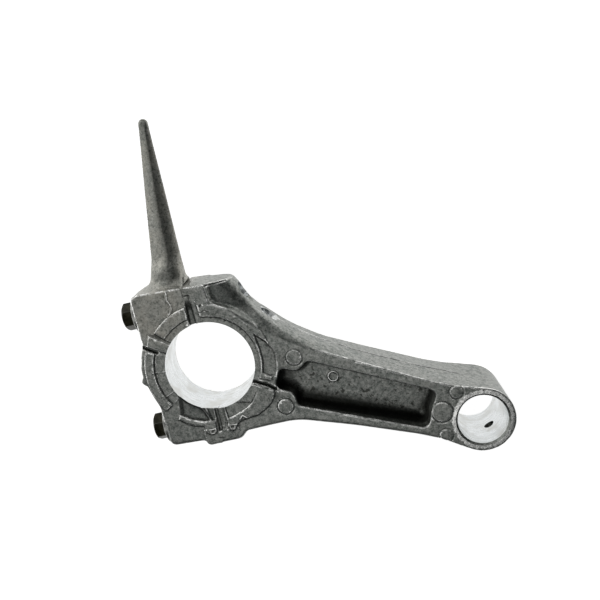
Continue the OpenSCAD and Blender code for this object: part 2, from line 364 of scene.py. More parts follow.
    # pits in the two lobes
    for pit_s, pit_t in ((-5.6, -26.9), (2.7, -26.6)):
        height -= 0.4 * inside(dot(pit_s, pit_t, 0.55), 0.6)
    # the groove along the split: deeper on the cap's side, and fading out towards the upper flange
    groove = np.maximum(GROOVE_CAP_S - s, s - GROOVE_ROD_S)
    groove_top = np.maximum(groove + 0.06 * (t - 22), np.abs(t - 21) - 9.0)
    on_cap = 1 - ramp(s, GROOVE_CAP_S + 1.9, GROOVE_CAP_S + 2.6)
    depth = 1.8 * (1 - ramp(t, 23, 29.5)) * (0.3 + 0.7 * on_cap)
    height = np.minimum(height, paint(height, groove_top, FACE - 0.2 - depth, 0.6))
    groove_low = np.maximum(groove + 0.25, np.abs(t + 21) - 6.2)
    height = paint(height, groove_low, FACE - 1.7 + 0.9 * ramp(s, -1.9, -1.2), 0.7)
    floor_line = np.maximum(np.abs(s - 0.1) - 0.15, np.abs(t + 21.5) - 4.6)
    height -= 0.2 * inside(floor_line, 0.5)
    # the lower boss stands a little proud
    height += 0.3 * inside(np.maximum(-9.3 - s, t + 25.5), 0.6) * (s < 5)
    # a bright fold of metal on the cap's upper block, and small marks
    fold = stroke(s, t, ((-9.3, 33.2), (-9.9, 30), (-8.9, 27.6), (-9.0, 25.6), (-11, 23.5)), 0.35)
    height += 0.45 * inside(fold, 1.4)
    height -= 0.5 * inside(dot(2.6, 24.6, 0.6), 0.7)
    height += 0.3 * inside(dot(0.8, 26.6, 0.3), 0.6)
    height -= 0.25 * inside(np.abs(dot(3.4, 21.6, 0.9)) - 0.15, 0.5)
    hook = stroke(s, t, ((-3.4, -30.2), (-2.7, -30.9), (-1.9, -30.7)), 0.2)
    height -= 0.35 * inside(hook, 0.5)
    return height


def split_line(grid, body):
    """Breaks the edges along the split, so that it shows as a fine dark line."""
    half_step = STEP_DEPTH / 2
    stepped = np.where(np.abs(grid.t) > STEP_T, SPLIT_S - STEP_DEPTH, SPLIT_S)
    from_face = np.abs(grid.s - stepped)
    from_step = np.maximum(np.abs(np.abs(grid.t) - STEP_T), np.abs(grid.s - SPLIT_S + half_step) - half_step)
    away = np.minimum(from_face, from_step)
    above_lower_boss = np.abs(grid.t - 4) < 32
    return body + (0.32 * (1 - ramp(away, 0.05, 0.36)) * above_lower_boss)[:, :, None]


# ---------------------------------------------------------------- the rod
def rod_outline():
    return rounded([
        (*st(-6, 33.6), 0),
        (*st(5.6, 32.6), 0.8),
        (*st(5.9, 25.3), 1.0),
        (0.3, 24.8, 3),
        (4.9, 24.0, 8),
        (13, 20.9, 30),
        (20, 18.8, 30),
        (30, 16.5, 40),
        (40, 15.0, 60),
        (60, 13.4, 200),
        (86, 11.75, 60),
        (97, 11.8, 30),
        (PIN_X - 1.2, SMALL_END_R - 0.1, 0),
        (PIN_X - 1.2, 0.1 - SMALL_END_R, 0),
        (96, -11.3, 30),
        (86, -11.3, 60),
        (62, -12.9, 200),
        (*st(29, -29.4), 30),
        (*st(8, -29.9), 1.5),
        (*st(4.9, -32.6), 2.4),
        (*st(-6, -32.6), 0)])


BIG_END_R = 29.5
SHANK_STEP = 0.2
TAPER_START = 28.0
TAPER_END = 99.0
WEB = 6.0
POCKET_BOSS_X = 93.6
POCKET_BOSS_R = 4.6
BADGE_PLACE = (49.5, 2.4)
BADGE_R = 2.0
BOSS_HALF_WIDTH = 9.4
BOSS_END_S = 17.6


def upper_boss(grid):
    """The bolt boss above the shank: it narrows towards its slanted end and fades into a rib."""
    x, y = grid.x, grid.y
    ridge = outline(x, y, rounded([
        (*st(0, 18), 0),
        (*st(0, 33.3), 0),
        (*st(26, 31.2), 0),
        (*st(26, 18), 0),
        (24.7, 19.7, 30),
        (31.4, 17.9, 60),
        (40.6, 15.5, 40),
        (52, 13.6, 0),
        (20, 8, 0)]))
    end = outline(x, y, rounded([
        (*st(-4, 40), 0),
        (*st(15.0, 44), 0),
        (*st(15.4, 32.6), 3),
        (*st(17.6, 29.0), 3),
        (*st(20.4, 21.6), 4),
        (14.2, 24.9, 8),
        (24.7, 20.2, 30),
        (40.6, 16.6, 30),
        (60, 12.5, 0),
        (60, 0, 0),
        (0, 0, 0)]))
    # the boss narrows away from the split, and the rib below its end is broad again
    along_rib = ramp(grid.s, 18, 25)
    half_width = BOSS_HALF_WIDTH - 0.2 * np.clip(grid.s - 6, 0, 10) * (1 - along_rib)
    # a fine groove runs along just under the boss's top
    under_top = 0.45 * inside(np.abs(grid.t - 31.6) - 0.25, 0.4) * (grid.s > 5) * (grid.s < 14)
    wall = grid.z - (half_width - under_top)[:, :, None]
    corner = (5.5 - 3.3 * along_rib)[:, :, None]
    rounded_end = meet(end[:, :, None], wall, corner)
    return meet(ridge[:, :, None] + DRAFT * grid.z, rounded_end, 0.7)


def pocket_outline():
    upper = [(27.3, 4.3, 2.5), (34.8, 4.3, 4), (37.6, 9.4, 2.5), (89.6, 7.6, 2.8)]
    lower = [(x, -y, r) for x, y, r in reversed(upper)]
    return rounded(upper + lower)


def shank_marks(grid):
    """Height of the round marks that ejector pins leave on the shank: raised, each in a fine groove."""
    x, y = grid.x, grid.y
    raised = np.zeros(x.shape)
    for mark_x, mark_y, mark_r in ((32.3, 9.9, 3.3), (32.7, -10.8, 3.3), (97.2, 9.1, 2.8),
                                   (97.2, -9.1, 2.8), (POCKET_BOSS_X, 0.0, POCKET_BOSS_R - 0.3)):
        distance = np.hypot(x - mark_x, y - mark_y) - mark_r
        raised += 0.15 * inside(distance, 0.5) - 0.35 * inside(np.abs(distance) - 0.15, 0.5)
    return raised


def rod_field():
    grid = Grid((-19, -34, 0), (PIN_X + SMALL_END_R + 1.5, 36, HALF_SMALL + 0.6))
    x, y = grid.x, grid.y
    spread = np.clip((x - TAPER_START) / (TAPER_END - TAPER_START), 0, 1)
    half_width = HALF_BIG + (HALF_SMALL - HALF_BIG) * spread
    # the shank's faces lie a step below the big end's, and come level with the small end's
    big = inside(np.hypot(x, y) - BIG_END_R, 4)
    height = half_width - SHANK_STEP + (big_end_height(grid) - FACE + SHANK_STEP) * big
    height = np.where(x > 60, half_width - SHANK_STEP * (1 - ramp(x, 60, 80)), height)
    height = np.minimum(height + shank_marks(grid), HALF_SMALL)
    plan = outline(x, y, rod_outline())
    eye = np.hypot(x - PIN_X, y) - (SMALL_END_R - 0.03)
    plan = np.minimum(plan, eye)
    # the upper side leans in towards the faces, most of all beside the big end, with a scoop under the boss
    lean = DRAFT + (y > 0) * ramp(x, -6, 4) * (0.03 + 0.16 * (1 - ramp(x, 18, 42)))
    lean = lean + 0.35 * inside(np.hypot(grid.s - 6.5, grid.t - 28.5) - 4.0, 3) * (grid.t < 31.5)
    lean = lean * (1 - ramp(x, 92, 104))
    # how round the sides' edges are
    edge = np.where(y > 0, 0.6 + 1.0 * ramp(x, -2, 12) * (1 - ramp(x, 28, 50)), 1.4)
    edge = edge + (0.4 - edge) * ramp(x, 96, 106)
    body = solid(plan, height, grid, edge, lean)
    body = join(body, upper_boss(grid), (1.1 + 2.0 * ramp(grid.s, 14, 26))[:, :, None])
    pocket = outline(x, y, pocket_outline())
    notch = np.hypot(x - POCKET_BOSS_X, y) - POCKET_BOSS_R
    pocket = meet(pocket, -notch, 0.8)
    hollow = meet(pocket[:, :, None] - 2 * DRAFT * (grid.z - HALF_BIG), WEB / 2 - grid.z, 3.0)
    # a plain raised ring on the pocket's floor
    from_ring = np.abs(np.hypot(x - BADGE_PLACE[0], y - BADGE_PLACE[1]) - BADGE_R) - 0.25
    hollow = hollow + 0.3 * inside(from_ring, 0.5)[:, :, None] * (grid.z < WEB / 2 + 2)
    body = meet(body, -hollow, 0.7)
    # the mould's parting line along the upper side
    seam = np.maximum(np.abs(grid.z) - 0.12, 0)
    seam_here = (ramp(x, 20, 26) * (1 - ramp(x, 100, 106)) * (y > 0))[:, :, None]
    body = body + 0.28 * (1 - ramp(seam, 0, 0.3)) * seam_here
    return grid, split_line(grid, body)


# ---------------------------------------------------------------- the cap and its dipper
def cap_outline():
    corners = [(6, 32.6, 0), (-21, 34.3, 3), (SEAT_S, 33.3, 2.3), (SEAT_S, 14.5, 6),
               (-28.4, 3, 14), (-25.2, -9.5, 8), (SEAT_S, -12.5, 3), (SEAT_S, -29.7, 2.6),
               (-9.8, -30.4, 0.8), (-8.8, -32.6, 2.4), (6, -32.6, 0)]
    return rounded([(*st(s, t), r) for s, t, r in corners])


LUG_PLACE = (-26.9, -0.6)
LUG_R = 1.7
DIPPER_FOOT = (-20.7, 24.0)
DIPPER_LEAN = math.radians(17.9)
DIPPER_TIP_R = 1.95
DIPPER_FOOT_R = 7.1
DIPPER_TIP_Y = 88.6


def dipper(grid):
    """The oil dipper: a tapering blade of rounded diamond section with a ridge on each face."""
    length = (DIPPER_TIP_Y - DIPPER_FOOT[1]) / math.cos(DIPPER_LEAN)
    dx, dy = grid.x - DIPPER_FOOT[0], grid.y - DIPPER_FOOT[1]
    along = dy * math.cos(DIPPER_LEAN) - dx * math.sin(DIPPER_LEAN)
    across = dx * math.cos(DIPPER_LEAN) + dy * math.sin(DIPPER_LEAN)
    radius = DIPPER_FOOT_R + (DIPPER_TIP_R - DIPPER_FOOT_R) * along / length
    # the foot flares out into the cap
    flare = 1 - ramp(along, 5, 16)
    across = across + 0.25 + flare * 0.5
    radius = radius + 0.1 - 0.12 * ramp(along, length - 30, length - 8) + flare * 0.5
    beyond = np.maximum(along - length, 0)
    # the blade turns round near its foot; above it the ridge stands right of the middle
    blade = ramp(along, 9, 17)
    shift = (0.55 + 0.9 * ramp(radius, 4.6, 6.2)) * blade * (1 - ramp(beyond, 0, 1))
    across = across - shift
    half = np.where(across < 0, radius + shift, radius - shift)
    power = (2.0 - 0.8 * blade * (1 - ramp(along, length - 3, length)))[:, :, None]
    depth = grid.z * (1.05 + 0.4 * blade)[:, :, None]
    wide = np.abs(across * radius / half)[:, :, None]
    radius, beyond, rise = (a[:, :, None] for a in (radius, beyond, along))
    diamond = (wide ** power + depth ** power + beyond ** power) ** (1 / power)
    return np.maximum((diamond - radius) * 0.8, -rise)


def cap_field():
    grid = Grid((-47, -36, 0), (14, 92, HALF_BIG + 0.8))
    x, y = grid.x, grid.y
    plan = outline(x, y, cap_outline())
    lug = np.hypot(grid.s - LUG_PLACE[0], grid.t - LUG_PLACE[1]) - LUG_R
    plan = join(plan, lug, 1.0)
    edge = 0.6 + 1.0 * (grid.t < -20) * (1 - ramp(grid.s, -12, -9))
    body = solid(plan, big_end_height(grid), grid, edge)
    body = join(body, dipper(grid), 4.0)
    return grid, split_line(grid, body)


# ---------------------------------------------------------------- cutting
def cylinder_along(name, start, end, radii, segments=128):
    """A closed turned tool along a line; radii is [(fraction along, radius), ...]."""
    start, end = Vector(start) * MM, Vector(end) * MM
    turn = (end - start).to_track_quat("Z", "Y").to_matrix().to_4x4()
    place = Matrix.Translation(start) @ turn
    length = (end - start).length
    bm = bmesh.new()
    rings = []
    for fraction, radius in radii:
        rings.append([bm.verts.new(place @ Vector((radius * MM * math.cos(a), radius * MM * math.sin(a),
                                                   length * fraction)))
                      for a in (2 * math.pi * k / segments for k in range(segments))])
    for low, high in zip(rings, rings[1:]):
        for k in range(segments):
            bm.faces.new((low[k], low[(k + 1) % segments], high[(k + 1) % segments], high[k]))
    bm.faces.new(rings[0][::-1])
    bm.faces.new(rings[-1])
    return from_bmesh(name, bm)


def prism(name, points, half_height):
    """An outline given in X and Y, raised to half_height above and below Z = 0."""
    bm = bmesh.new()
    low = [bm.verts.new((p[0] * MM, p[1] * MM, -half_height * MM)) for p in points]
    high = [bm.verts.new((p[0] * MM, p[1] * MM, half_height * MM)) for p in points]
    for k in range(len(points)):
        n = (k + 1) % len(points)
        bm.faces.new((low[k], low[n], high[n], high[k]))
    bm.faces.new(low[::-1])
    bm.faces.new(high)
    bmesh.ops.recalc_face_normals(bm, faces=bm.faces)
    return from_bmesh(name, bm)


def from_bmesh(name, bm):
    data = bpy.data.meshes.new(name)
    bm.to_mesh(data)
    bm.free()
    return link(bpy.data.objects.new(name, data))


def cut(obj, tools):
    """Subtracts the tools from an object and removes them."""
    for tool in tools:
        modifier = obj.modifiers.new("cut", "BOOLEAN")
        modifier.operation = "DIFFERENCE"
        modifier.solver = "MANIFOLD"
        modifier.object = tool
    graph = bpy.context.evaluated_depsgraph_get()
    result = bpy.data.meshes.new_from_object(obj.evaluated_get(graph))
    obj.modifiers.clear()
    result.materials.clear()
    obj.data = result
    for tool in tools:
        bpy.data.objects.remove(tool)


def split_tool(rod_side):
    """A block that covers the rod's or the cap's side of the split."""
    far = 60
    face = [(SPLIT_S - STEP_DEPTH, -far), (SPLIT_S - STEP_DEPTH, -STEP_T - 1), (SPLIT_S, -STEP_T - 1),
            (SPLIT_S, STEP_T), (SPLIT_S - STEP_DEPTH, STEP_T), (SPLIT_S - STEP_DEPTH, FLANGE_TOP_T)]
    lean_over = (SPLIT_S - STEP_DEPTH + far - FLANGE_TOP_T, far)
    back = [lean_over, (200, far), (200, -far)] if rod_side else [lean_over, (-far, far), (-far, -far)]
    return prism("split_tool", [st(s, t) for s, t in face + back], 40)


def crank_bore_tool():
    return cylinder_along("bore", (0, 0, -20), (0, 0, 20), [(0, CRANK_R), (1, CRANK_R)], 192)


def bolt_hole_tool(side, s_low, s_high, radius):
    low, high = st(s_low, BOLT_T[side]), st(s_high, BOLT_T[side])
    return cylinder_along("hole", (*low, 0), (*high, 0), [(0, radius), (1, radius)], 64)


def oil_hole_tool(centre_x, angle, start, end, radii, segments):
    """A hole in the mid-plane that runs out from a bore's axis, between two distances from it."""
    ends = [(centre_x + d * math.cos(angle), d * math.sin(angle), 0) for d in (start, end)]
    return cylinder_along("oil_hole", *ends, radii, segments)


def store_curvature(obj, grid, field):
    """Keeps the casting's curvature on its points, for the worn edges and the painted crease shade of its
    material.
    """
    points = np.empty(len(obj.data.vertices) * 3)
    obj.data.vertices.foreach_get("co", points)
    points = points.reshape(-1, 3) / MM
    bend = grid.curvature(field, points)
    s, t = split_coords(points[:, 0], points[:, 1])
    stepped = np.where(np.abs(t) > STEP_T - 0.5, SPLIT_S - STEP_DEPTH, SPLIT_S)
    near = 0.9
    at_step = (np.abs(np.abs(t) - STEP_T) < near) & (np.abs(s - SPLIT_S + STEP_DEPTH / 2) < STEP_DEPTH)
    at_split = (np.abs(s - stepped) < near) | at_step
    bend = np.where(at_split, np.minimum(0.5 * bend, 0), bend)
    attribute = obj.data.attributes.new("curvature", "FLOAT", "POINT")
    attribute.data.foreach_set("value", bend.astype(np.float32))


def build_rod():
    grid, field = rod_field()
    rod = grid.mesh("rod_casting", field)
    chamfer = 0.8
    spare = 2
    span = 2 * (HALF_SMALL + spare)
    mouth = (spare + chamfer) / span
    flare = PIN_R + chamfer + spare
    pin_bore = cylinder_along(
        "pin_bore", (PIN_X, 0, -span / 2), (PIN_X, 0, span / 2),
        [(0, flare), (mouth, PIN_R), (1 - mouth, PIN_R), (1, flare)], 144)
    start, end = 16, 40
    widest = CRANK_OIL_R + CRANK_OIL_MOUTH[-1][1]
    profile = [((reach - start) / (end - start), CRANK_OIL_R + wider) for reach, wider in CRANK_OIL_MOUTH]
    profile = [(0, CRANK_OIL_R), *profile, (1, widest)]
    crank_oil = oil_hole_tool(0, CRANK_OIL_ANGLE, start, end, profile, 64)
    pin_oil = oil_hole_tool(PIN_X, PIN_OIL_ANGLE, 8, 16, [(0, PIN_OIL_R), (1, PIN_OIL_R)], 48)
    # the upper bolt hole breaks out on the slope behind its boss, in a countersink
    exit_mouth = cylinder_along(
        "exit_mouth", (*st(BOSS_END_S + 1.6, BOLT_T[1]), 0), (*st(24, BOLT_T[1]), 0),
        [(0, HOLE_R - 0.4), (0.5, HOLE_R + 1.2), (1, HOLE_R + 1.2)], 64)
    cut(rod, [split_tool(False), crank_bore_tool(), pin_bore, crank_oil, pin_oil,
              exit_mouth, bolt_hole_tool(1, -10, 30, HOLE_R), bolt_hole_tool(-1, -10, 17, HOLE_R)])
    store_curvature(rod, grid, field)
    return rod


def build_cap():
    grid, field = cap_field()
    cap = grid.mesh("cap_casting", field)
    bolt_holes = [bolt_hole_tool(side, SEAT_S - 6, 3, CLEAR_HOLE_R) for side in (1, -1)]
    cut(cap, [split_tool(True), crank_bore_tool(), *bolt_holes])
    store_curvature(cap, grid, field)
    return cap


# ---------------------------------------------------------------- bolts and washers
def hexagon(angle):
    """How far the bolt head's side is from its axis in some direction."""
    return HEAD_ACROSS_FLATS / 2 / math.cos((angle + math.pi / 6) % (math.pi / 3) - math.pi / 6)


def bolt_profile():
    """(radius, s) of the bolt's rings from its head to its tip; either may depend on the direction."""
    head_top, tip = BOLT_S
    under_head = WASHER_S[0]
    shank_r = BOLT_R - 0.02
    face_r = 4.45
    slope = math.tan(math.radians(30))

    def chamfered(height):
        return lambda angle: head_top + height + (hexagon(angle) - face_r) * slope

    profile = [
        (0.3, head_top), (face_r - 0.9, head_top), (face_r, head_top + 0.1),
        (lambda angle: hexagon(angle) - 0.05, chamfered(0.12)), (hexagon, chamfered(0.3)),
        (hexagon, under_head - 0.25), (lambda angle: hexagon(angle) - 0.25, under_head),
        (BOLT_R + 0.1, under_head), (shank_r, under_head + 0.3)]
    thread_start = under_head + 14
    thread_depth = 0.55
    steps_per_turn = 10
    profile.append((shank_r, thread_start))
    turns = (tip - 0.8 - thread_start) / THREAD_PITCH
    for i in range(int(turns * steps_per_turn) + 1):
        here = thread_start + i * THREAD_PITCH / steps_per_turn

        def thread(angle, here=here):
            phase = (here / THREAD_PITCH - angle / (2 * math.pi)) % 1.0
            crest = max(0.0, min(1.0, 1.6 * abs(2 * phase - 1) - 0.2))
            run_in = min(1.0, here - thread_start, (tip - 0.7 - here) / 0.8)
            return shank_r - thread_depth * (1 - crest) * max(run_in, 0)

        profile.append((thread, here))
    return profile + [(BOLT_R - 0.7, tip - 0.1), (BOLT_R - 0.9, tip), (0.3, tip)]


def build_bolt(side, word):
    around = 120
    base = Vector((*st(0, BOLT_T[side]), 0))
    along = Vector((COS, SIN, 0))
    up = Vector((0, 0, 1))
    across = along.cross(up)
    bm = bmesh.new()
    rings = []
    for radius, s in bolt_profile():
        ring = []
        for k in range(around):
            angle = 2 * math.pi * k / around
            r = radius(angle) if callable(radius) else radius
            depth = s(angle) if callable(s) else s
            point = base + along * depth + (up * math.cos(angle) + across * math.sin(angle)) * r
            ring.append(bm.verts.new(point * MM))
        rings.append(ring)
    for low, high in zip(rings, rings[1:]):
        for k in range(around):
            n = (k + 1) % around
            bm.faces.new((low[k], high[k], high[n], low[n]))
    bm.faces.new(rings[0])
    bm.faces.new(rings[-1][::-1])
    bmesh.ops.recalc_face_normals(bm, faces=bm.faces)
    return from_bmesh("flange_bolt_" + word, bm)


def build_washer(side, word):
    under_head_gap = 0.03
    bevel = 0.25
    s_out, s_in = WASHER_S[0] + under_head_gap, WASHER_S[1]
    out, into = st(s_out, BOLT_T[side]), st(s_in, BOLT_T[side])
    f = bevel / (s_in - s_out)
    washer = cylinder_along(
        "plated_washer_" + word, (*out, 0), (*into, 0),
        [(0, WASHER_R - bevel), (f, WASHER_R), (1 - f, WASHER_R), (1, WASHER_R - bevel)], 96)
    cut(washer, [bolt_hole_tool(side, s_out - 1, s_in + 1, CLEAR_HOLE_R)])
    return washer


# ---------------------------------------------------------------- materials
def principled(name, colour, roughness, metallic):
    """A material whose constants stand until nodes are fed into them."""
    material = bpy.data.materials.new(name)
    material.use_nodes = True
    shader = material.node_tree.nodes["Principled BSDF"]
    shader.inputs["Base Color"].default_value = (*colour, 1)
    shader.inputs["Roughness"].default_value = roughness
    shader.inputs["Metallic"].default_value = metallic
    return material


class Nodes:
    """Short names for the nodes that a material is made of."""

    def __init__(self, material):
        self.tree = material.node_tree
        self.shader = self.tree.nodes["Principled BSDF"]
        self.place = self.tree.nodes.new("ShaderNodeTexCoord").outputs["Object"]

    def node(self, kind, **settings):
        made = self.tree.nodes.new(kind)
        for key, value in settings.items():
            setattr(made, key, value)
        return made

    def feed(self, socket, value):
        if isinstance(value, bpy.types.NodeSocket):
            self.tree.links.new(value, socket)
        else:
            socket.default_value = value

    def math(self, operation, a, b=0.0):
        made = self.node("ShaderNodeMath", operation=operation)
        self.feed(made.inputs[0], a)
        self.feed(made.inputs[1], b)
        return made.outputs[0]

    def size(self, value):
        return self.math("ABSOLUTE", value)

    def times(self, first, *others):
        for other in others:
            first = self.math("MULTIPLY", first, other)
        return first

    def noise(self, size_mm, detail=3.0, roughness=0.55, stretch=(1, 1, 1)):
        mapping = self.node("ShaderNodeMapping")
        self.feed(mapping.inputs["Vector"], self.place)
        mapping.inputs["Scale"].default_value = stretch
        made = self.node("ShaderNodeTexNoise")
        self.feed(made.inputs["Vector"], mapping.outputs[0])
        made.inputs["Scale"].default_value = 1 / (size_mm * MM)
        made.inputs["Detail"].default_value = detail
        made.inputs["Roughness"].default_value = roughness
        return made.outputs["Fac"]

    def ramp(self, value, low, high, out_low=0.0, out_high=1.0):
        made = self.node("ShaderNodeMapRange", interpolation_type="SMOOTHSTEP")
        self.feed(made.inputs["Value"], value)
        limits = {"From Min": low, "From Max": high, "To Min": out_low, "To Max": out_high}
        for name, number in limits.items():
            made.inputs[name].default_value = number
        return made.outputs["Result"]

    def mix(self, factor, a, b):
        made = self.node("ShaderNodeMix", data_type="RGBA")
        self.feed(made.inputs[0], factor)
        self.feed(made.inputs[6], a)
        self.feed(made.inputs[7], b)
        return made.outputs[2]

    def bump(self, height, distance_mm, strength=1.0, after=None):
        made = self.node("ShaderNodeBump")
        self.feed(made.inputs["Height"], height)
        made.inputs["Distance"].default_value = distance_mm * MM
        made.inputs["Strength"].default_value = strength
        if after is not None:
            self.feed(made.inputs["Normal"], after)
        return made.outputs["Normal"]

    def position(self):
        split = self.node("ShaderNodeSeparateXYZ")
        self.feed(split.inputs[0], self.place)
        return split.outputs


def cast_material():
    """Die-cast aluminium skin: grained satin grey with worn bright edges, and painted shade in its creases,
    recesses, pockets and on its underside.
    """
    material = principled("cast_aluminium_skin", (0.3, 0.31, 0.29), 0.45, 1.0)
    n = Nodes(material)
    x, y, z = n.position()
    broad = n.noise(11, 3)
    mottle = n.noise(1.7, 5, 0.68)
    grain = n.noise(0.7, 3, 0.75)
    specks = n.noise(0.55, 2, 0.5)
    tone = n.mix(n.ramp(broad, 0.35, 0.65), (0.195, 0.21, 0.196, 1), (0.245, 0.256, 0.238, 1))
    # warm rubbed metal on the cap and up the dipper
    warm = n.times(n.ramp(n.noise(9, 2), 0.38, 0.62, 0.45, 0.85), n.ramp(x, -8 * MM, -20 * MM),
                   n.ramp(y, 0, 12 * MM))
    tone = n.mix(n.ramp(mottle, 0.42, 0.62), tone, (0.34, 0.345, 0.325, 1))
    tone = n.mix(warm, tone, (0.40, 0.385, 0.34, 1))
    tone = n.mix(n.ramp(mottle, 0.47, 0.36, 0, 0.5), tone, (0.115, 0.124, 0.115, 1))
    tone = n.mix(n.ramp(grain, 0.53, 0.68, 0, 0.65), tone, (0.58, 0.58, 0.54, 1))
    tone = n.mix(n.ramp(grain, 0.47, 0.35, 0, 0.65), tone, (0.06, 0.064, 0.057, 1))
    # painted shade darkens the pockets towards their lower side and at both ends, and real stains mark their
    # floors
    in_pocket = n.times(n.ramp(x, 25.5 * MM, 29 * MM), n.ramp(x, 91.5 * MM, 89 * MM),
                        n.ramp(n.size(z), 12.6 * MM, 10.2 * MM), n.ramp(n.size(y), 10.2 * MM, 8.6 * MM))
    pocket_shade = n.ramp(y, -2.6 * MM, -7 * MM)
    pocket_shade = n.math("MAXIMUM", pocket_shade, n.ramp(x, 82 * MM, 90 * MM, 0, 0.8))
    pocket_shade = n.math("MAXIMUM", pocket_shade, n.ramp(x, 39 * MM, 29 * MM, 0, 0.9))
    stained = n.ramp(n.noise(2.2, 4, 0.6), 0.585, 0.61)
    # painted shade in the pockets
    tone = n.mix(n.times(in_pocket, pocket_shade, 0.93), tone, (0.022, 0.023, 0.020, 1))
    tone = n.mix(n.times(in_pocket, stained, 0.8), tone, (0.035, 0.036, 0.03, 1))
    # ridges are worn bright, and creases are darkened with painted shade
    bend = n.node("ShaderNodeAttribute", attribute_name="curvature").outputs["Fac"]
    worn = n.times(n.ramp(bend, 0.45, 1.5), n.ramp(n.noise(2.4, 4, 0.65), 0.38, 0.56, 0.10, 0.9))
    crease_shade = n.times(n.ramp(bend, -0.5, -2.4), n.ramp(n.noise(3.0, 3), 0.30, 0.6, 0.2, 0.7))
    # painted shade darkens the recesses of the big end's faces
    facing = n.node("ShaderNodeSeparateXYZ")
    n.feed(facing.inputs[0], n.node("ShaderNodeTexCoord").outputs["Normal"])
    toward_y, toward_z = facing.outputs[1], facing.outputs[2]
    recess_shade = n.times(
        n.ramp(n.size(toward_z), 0.6, 0.9), n.ramp(n.size(z), (FACE - 0.7) * MM, (FACE - 1.7) * MM),
        n.ramp(x, 29 * MM, 26 * MM), 0.42)
    tone = n.mix(recess_shade, tone, (0.055, 0.063, 0.058, 1))
    # painted shade darkens the faces that turn downwards, and the parting line along the upper side is dark
    underside_shade = n.ramp(toward_y, -0.12, -0.6, 0, 0.82)
    tone = n.mix(underside_shade, tone, (0.04, 0.042, 0.039, 1))
    seam = n.times(n.ramp(n.size(z), 0.85 * MM, 0.5 * MM), n.ramp(toward_y, 0.5, 0.8),
                   n.ramp(x, 24 * MM, 28 * MM), n.ramp(x, 106 * MM, 98 * MM),
                   n.ramp(n.noise(5, 2), 0.36, 0.5, 0.2, 0.9))
    tone = n.mix(seam, tone, (0.03, 0.032, 0.03, 1))
    # the small end's faces are skimmed bright round the bore
    from_pin = n.math("SQRT", n.math("ADD", n.math("POWER", n.math("SUBTRACT", x, PIN_X * MM), 2.0),
                                     n.math("POWER", y, 2.0)))
    ragged = n.times(n.math("SUBTRACT", n.noise(2.0, 4, 0.7), 0.5), 3.2 * MM)
    skimmed = n.times(
        n.ramp(n.math("ADD", from_pin, ragged), (SMALL_END_R - 0.6) * MM, (SMALL_END_R - 1.0) * MM),
        n.ramp(n.size(toward_z), 0.9, 0.97),
        n.ramp(n.size(z), (HALF_SMALL - 0.8) * MM, (HALF_SMALL - 0.4) * MM),
        n.ramp(n.noise(0.8, 3, 0.7), 0.34, 0.52, 0.5, 1))
    # the dipper's ridge isn't worn
    worn = n.times(worn, n.ramp(y, 38 * MM, 34 * MM))
    worn = n.math("MAXIMUM", worn, skimmed)
    tone = n.mix(worn, tone, (0.95, 0.945, 0.92, 1))
    # painted shade in the creases
    tone = n.mix(crease_shade, tone, (0.03, 0.032, 0.029, 1))
    tone = n.mix(n.ramp(specks, 0.34, 0.29, 0, 0.7), tone, (0.04, 0.042, 0.038, 1))
    n.feed(n.shader.inputs["Base Color"], tone)
    rough = n.ramp(n.noise(1.4, 3), 0.3, 0.7, 0.36, 0.54)
    rough = n.math("SUBTRACT", rough, n.times(worn, 0.20))
    n.feed(n.shader.inputs["Roughness"], rough)
    normal = n.bump(n.noise(3.6, 3, 0.5), 0.16, 0.8)
    normal = n.bump(mottle, 0.075, 0.9, normal)
    normal = n.bump(grain, 0.05, 0.9, normal)
    n.feed(n.shader.inputs["Normal"], normal)
    return material


def machined_material():
    """Bored and faced aluminium: bright, with fine tool marks round the bores."""
    material = principled("machined_aluminium", (0.86, 0.87, 0.86), 0.26, 1.0)
    n = Nodes(material)
    streak = n.noise(0.6, 2, 0.5, (0.05, 0.05, 1))
    blotch = n.noise(7, 3)
    tone = n.mix(n.ramp(streak, 0.35, 0.65), (0.64, 0.66, 0.66, 1), (0.76, 0.78, 0.785, 1))
    tone = n.mix(n.ramp(blotch, 0.46, 0.66, 0, 0.6), tone, (0.56, 0.555, 0.52, 1))
    n.feed(n.shader.inputs["Base Color"], tone)
    n.feed(n.shader.inputs["Roughness"], n.ramp(blotch, 0.3, 0.7, 0.24, 0.36))
    n.feed(n.shader.inputs["Normal"], n.bump(streak, 0.0015, 0.4))
    return material


def black_material():
    """Black oxide on a steel bolt, oiled, rubbed brown and bright at its edges."""
    material = principled("black_oxide_steel", (0.02, 0.02, 0.018), 0.4, 1.0)
    n = Nodes(material)
    cloud = n.noise(2.4, 3)
    fine = n.noise(0.25, 2)
    tone = n.mix(n.ramp(cloud, 0.35, 0.65), (0.011, 0.0105, 0.006, 1), (0.028, 0.026, 0.016, 1))
    pointed = n.node("ShaderNodeNewGeometry").outputs["Pointiness"]
    worn = n.times(n.ramp(pointed, 0.53, 0.64), n.ramp(n.noise(1.5, 2), 0.35, 0.6, 0.2, 0.8))
    tone = n.mix(worn, tone, (0.13, 0.13, 0.12, 1))
    n.feed(n.shader.inputs["Base Color"], tone)
    n.feed(n.shader.inputs["Roughness"], n.ramp(fine, 0.3, 0.7, 0.32, 0.50))
    n.feed(n.shader.inputs["Normal"], n.bump(fine, 0.006, 0.5))
    return material


